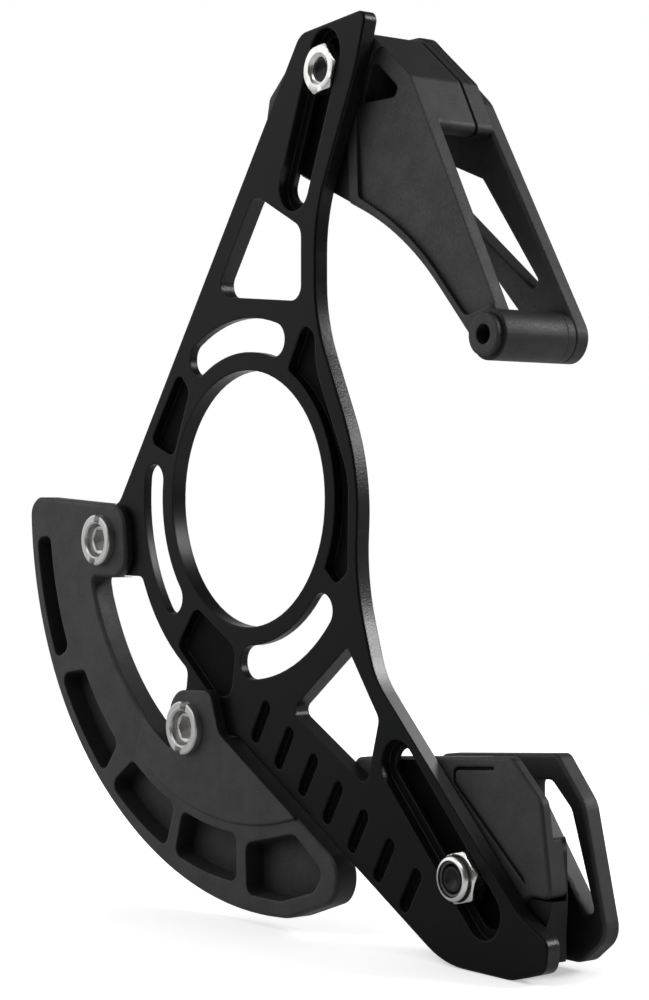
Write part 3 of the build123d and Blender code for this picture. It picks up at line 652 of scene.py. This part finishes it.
def cap_screw(node, body, shank, pitch, depth, head, head_height, socket, longer=0.0):
    """Dished tip, thread, neck, knurled head with a rounded edge, and socket."""
    tip, top = heights(node)
    tip -= longer
    seat = top - head_height
    neck = min(seat - 0.5, tip + THREADED)
    cut = column(tip + 0.4, neck, 0.1)
    root = shank - depth - 0.1
    knurl = head - KNURL_DEPTH * head * (0.5 + 0.5 * np.cos(KNURLS * angles))
    edge = arc(90, 5)
    flats = hexagon(socket)
    turned(node, body, oxide, rings(
        (tip + 0.35 * root, 0.25 * root), (tip + 0.08 * root, 0.72 * root), (tip, 0.82 * root), (tip, root),
        (cut, np.minimum(thread(cut, shank - RUN, pitch, depth), shank - depth + (cut - tip) * 0.8)),
        (neck + 0.05, shank - RUN), (seat, shank - RUN), (seat, head - 0.25), (seat + 0.2, knurl),
        (top - 0.5, knurl),
        (top - HEAD_ROUND + HEAD_ROUND * np.sin(edge), head - 0.7 + HEAD_ROUND * np.cos(edge)),
        (top, flats + 0.2), (top - 0.15, flats), (top - 0.62 * head_height, flats)), False)


for guide, longer in (("upper_guide", 0.2), ("lower_guide", 0.6)):
    cap_screw(guide + "_bolt", guide, M5, M5_PITCH, M5_DEPTH, GUIDE_HEAD, GUIDE_HEAD_HEIGHT, GUIDE_SOCKET,
              longer)
for node, guide in (("upper_cross_screw", "upper_guide"), ("lower_guide_screw", "lower_guide")):
    cap_screw(node, guide, M3, M3_PITCH, M3_DEPTH, SMALL_HEAD, SMALL_HEAD_HEIGHT, SMALL_SOCKET)

# %% [markdown]
# The guard hangs on two sleeve nuts. The flange of each has two notches for a pin spanner and a dished
# middle. The bolt comes from the other side and fills the sleeve, so its socket shows.

# %% The guard's sleeve nuts
FLANGE, SLEEVE, BOLT, FLANGE_DEEP, FLANGE_ROUND = 4.95, 3.9, 3.0, 1.3, 0.4
NOTCH_DEEP, NOTCH_HALF_WIDTH, NOTCH_TURN = 1.0, 0.75, math.radians(-12)
bend = arc(90, 6)


def notched(radius):
    """How far a ring sinks: 1 mm within 0.75 mm of the line across the flange, turned 12 degrees."""
    return np.where(np.abs(radius * np.cos(angles - NOTCH_TURN)) < NOTCH_HALF_WIDTH, NOTCH_DEEP, 0.0)


def sleeve_nut(node):
    """Dished flange with notches and a rounded edge, then the sleeve, with the bolt's bore through both."""
    near, far = heights(node)
    seat = near + FLANGE_DEEP
    turned(node, "plate", dull_zinc, rings(
        (near + 1.1, BOLT + RUN), (near + 0.25, BOLT + 0.25), (near, BOLT + 0.55),
        (near + notched(3.6), 3.62), (near + notched(4.5), 4.5),
        (np.maximum(near + FLANGE_ROUND - FLANGE_ROUND * np.cos(bend), near + notched(4.9)),
         FLANGE - FLANGE_ROUND + FLANGE_ROUND * np.sin(bend)),
        (seat, FLANGE), (seat, SLEEVE), (far, SLEEVE), (far, BOLT + RUN)), True)


print("a sleeve nut is", 2 * FLANGE, "mm across its flange")

# %% The guard's bolts, and both on the guard
BOLT_SOCKET = 4.0


def guard_bolt(node):
    """A socket in the end that shows, the plain shank, and a flat head with a socket on the far side."""
    low, top = heights(node)
    flats = hexagon(BOLT_SOCKET)
    turned(node, "plate", dull_zinc, rings(
        (low + 2.6, flats), (low + 0.95, flats), (low + 0.8, flats + 0.25), (low + 0.8, BOLT - 0.35),
        (low + 1.1, BOLT - RUN), (plate_far, BOLT - RUN), (plate_far, FLANGE - 0.2),
        (plate_far + 0.2, FLANGE), (top - FLANGE_ROUND, FLANGE),
        (top - FLANGE_ROUND + FLANGE_ROUND * np.sin(bend),
         FLANGE - FLANGE_ROUND + FLANGE_ROUND * np.cos(bend)),
        (top, flats + 0.25), (top - 0.2, flats), (top - 1.5, flats)), False)


for which in ("upper", "lower"):
    sleeve_nut("guard_nut_" + which)
    guard_bolt("guard_bolt_" + which)

# %% [markdown]
# The part stands on a white table. A real sweep has no corner, and here the table simply runs out to a
# white world. For the camera, and faintly for reflections, it adds a little light of its own, so that it
# reaches white. There is less of it close to the part, and less again where Ambient Occlusion finds the
# part just above it: that is painted shade, a painted contact shadow which plain white would wash out.

# %% The table
TABLE_HALF, TABLE_DROP = 0.35, 0.05 * MM
GLOW_MIDDLE, GLOW_NEAR, GLOW_FAR = (0.03, -0.02), 0.05, 0.14
CONTACT = 0.04

floor_z = cad_box[0][2]
table_mesh = bpy.data.meshes.new("table_top")
corners = np.array([(-1, -1), (1, -1), (1, 1), (-1, 1)]) * TABLE_HALF
table_mesh.from_pydata([(x, y, floor_z - TABLE_DROP) for x, y in corners.tolist()], [], [(0, 1, 2, 3)])
table_top = bpy.data.objects.new("table_top", table_mesh)
bpy.context.scene.collection.objects.link(table_top)
print("table at z", round(floor_z / MM, 2), "mm")

# %% White paint with a glow, and painted contact shade
table_white, tree, out = new_material("white_table")
ray = add(tree, "ShaderNodeLightPath", {}, {})
seen = add(tree, "ShaderNodeMath", {"operation": "MULTIPLY_ADD"},
           {0: ray.outputs["Is Glossy Ray"], 1: 0.15, 2: ray.outputs["Is Camera Ray"]})
paint = add(tree, "ShaderNodeBsdfDiffuse", {}, {"Color": colour("#e6e6e6")})
spot = add(tree, "ShaderNodeTexCoord", {}, {}).outputs["Object"]
spread = add(tree, "ShaderNodeVectorMath", {"operation": "DISTANCE"}, {0: spot, 1: (*GLOW_MIDDLE, floor_z)})
# The table's own light is lower close to the part: a painted shadow around it.
glow = add(tree, "ShaderNodeMapRange", {},
           {"Value": spread.outputs["Value"], "From Min": GLOW_NEAR, "From Max": GLOW_FAR, "To Min": 0.76,
            "To Max": 0.92})
# Painted contact shade: Ambient Occlusion lowers the table's own light where the part is just above it.
air = add(tree, "ShaderNodeAmbientOcclusion", {"samples": 16}, {"Distance": CONTACT})
painted_contact_shade = add(tree, "ShaderNodeMapRange", {},
              {"Value": air.outputs["AO"], "From Min": 0.2, "From Max": 0.95, "To Min": 0.6, "To Max": 1.0})
strength = add(tree, "ShaderNodeMath", {"operation": "MULTIPLY"},
               {0: glow.outputs["Result"], 1: painted_contact_shade.outputs["Result"]})
lift = add(tree, "ShaderNodeEmission", {}, {"Color": colour("#ffffff"), "Strength": strength.outputs[0]})
none = add(tree, "ShaderNodeEmission", {}, {"Strength": 0.0})
pick = add(tree, "ShaderNodeMixShader", {}, {0: seen.outputs[0], 1: none.outputs[0], 2: lift.outputs[0]})
both = add(tree, "ShaderNodeAddShader", {}, {0: paint.outputs[0], 1: pick.outputs[0]})
tree.links.new(both.outputs[0], out.inputs["Surface"])
table_mesh.materials.append(table_white)
print(table_white.name, "has", len(tree.nodes), "nodes")

# %% [markdown]
# Light. Black parts show little but what they reflect, so the room matters more than the lamps. It has
# three walls: the white sweep behind the part, a pale wall on the left, brighter towards its top, which
# the flat faces mirror, and a softer one on the outboard side. The rest of the room is nearly dark,
# which leaves the pockets and the slots black. The camera itself sees plain white all round.

# %% The walls of the room
world = bpy.data.worlds.new("studio")
bpy.context.scene.world = world
world.use_nodes = True
tree = world.node_tree
tree.nodes.clear()
out = tree.nodes.new("ShaderNodeOutputWorld")
way = add(tree, "ShaderNodeTexCoord", {}, {}).outputs["Generated"]


def wall(toward, edge, middle, dark, bright):
    """How bright a wall is in a direction: the cosine between that and the wall's middle, from edge to
    middle, is mapped to dark to bright."""
    cosine = add(tree, "ShaderNodeVectorMath", {"operation": "DOT_PRODUCT"}, {0: way, 1: toward})
    level = add(tree, "ShaderNodeMapRange", {},
                {"Value": cosine.outputs["Value"], "From Min": edge, "From Max": middle, "To Min": dark,
                 "To Max": bright})
    return level.outputs["Result"]


sweep_wall = wall((-0.75, 0.59, -0.30), 0.55, 0.92, 0.0, 0.85)
left_wall = wall((-0.78, -0.60, 0.17), 0.52, 0.95, 0.0, 1.0)
back_wall = wall((0.0, 0.985, 0.17), 0.78, 0.97, 0.08, 0.65)
print("the room has", len([n for n in tree.nodes if n.type == "MAP_RANGE"]), "walls")

# %% The world that joins them
height = add(tree, "ShaderNodeSeparateXYZ", {}, {"Vector": way}).outputs["Z"]
rise = add(tree, "ShaderNodeMapRange", {},
           {"Value": height, "From Min": -0.25, "From Max": 0.25, "To Min": 0.16, "To Max": 1.45})
left_rising = add(tree, "ShaderNodeMath", {"operation": "MULTIPLY"},
                  {0: left_wall, 1: rise.outputs["Result"]})
two_walls = add(tree, "ShaderNodeMath", {"operation": "ADD"}, {0: sweep_wall, 1: left_rising.outputs[0]})
level = add(tree, "ShaderNodeMath", {"operation": "ADD"}, {0: two_walls.outputs[0], 1: back_wall})
room = add(tree, "ShaderNodeBackground", {}, {"Color": colour("#ffffff"), "Strength": level.outputs[0]})
white = add(tree, "ShaderNodeBackground", {}, {"Color": colour("#ffffff"), "Strength": 1.0})
ray = add(tree, "ShaderNodeLightPath", {}, {})
pick = add(tree, "ShaderNodeMixShader", {},
           {0: ray.outputs["Is Camera Ray"], 1: room.outputs[0], 2: white.outputs[0]})
tree.links.new(pick.outputs[0], out.inputs["Surface"])
print(world.name, "has", len(tree.nodes), "nodes")

# %% [markdown]
# Two soft boxes do what the walls can't. The right one catches the rear edge of the plate, draws its
# bright line and casts the faint shadow on the table. The left one fills the faces from above.

# %% Soft boxes
def soft_box(name, toward, distance, size, power):
    """An area light that looks at the bore from that direction and distance. Its tilt is the angle of
    the direction from straight up, and its turn is the direction's own on the ground plus 90 degrees."""
    lamp = bpy.data.lights.new(name, "AREA")
    lamp.shape = "RECTANGLE"
    lamp.size, lamp.size_y = size
    lamp.energy = power
    away = np.array(toward) / np.linalg.norm(toward)
    box = bpy.data.objects.new(name, lamp)
    box.location = (away * distance).tolist()
    box.rotation_euler = (math.acos(away[2]), 0.0, math.atan2(away[1], away[0]) + math.pi / 2)
    bpy.context.scene.collection.objects.link(box)


soft_box("right_box", (0.61, 0.61, 0.51), 1.0, (0.32, 0.32), 5.5)
soft_box("left_box", (0.10, -0.75, 0.70), 1.1, (0.7, 0.5), 2.0)

# %% [markdown]
# The camera stands on the frame side, level with the bore and turned 52 degrees to the plate, about
# 43 cm away. Its place and lens were found from the round bore and the slots in the photograph.

# %% The camera
lens = bpy.data.cameras.new("camera")
lens.sensor_width = 36.0
lens.lens = 86.4
camera = bpy.data.objects.new("camera", lens)
camera.location = (0.349126, -0.256252, -0.000473)
camera.rotation_euler = (math.radians(90.0338), 0.0, math.radians(51.8333))
bpy.context.scene.collection.objects.link(camera)
bpy.context.scene.camera = camera
bpy.context.scene.view_settings.view_transform = "Standard"
print("lens", round(lens.lens, 1), "mm, at", [round(v / MM) for v in camera.location], "mm")
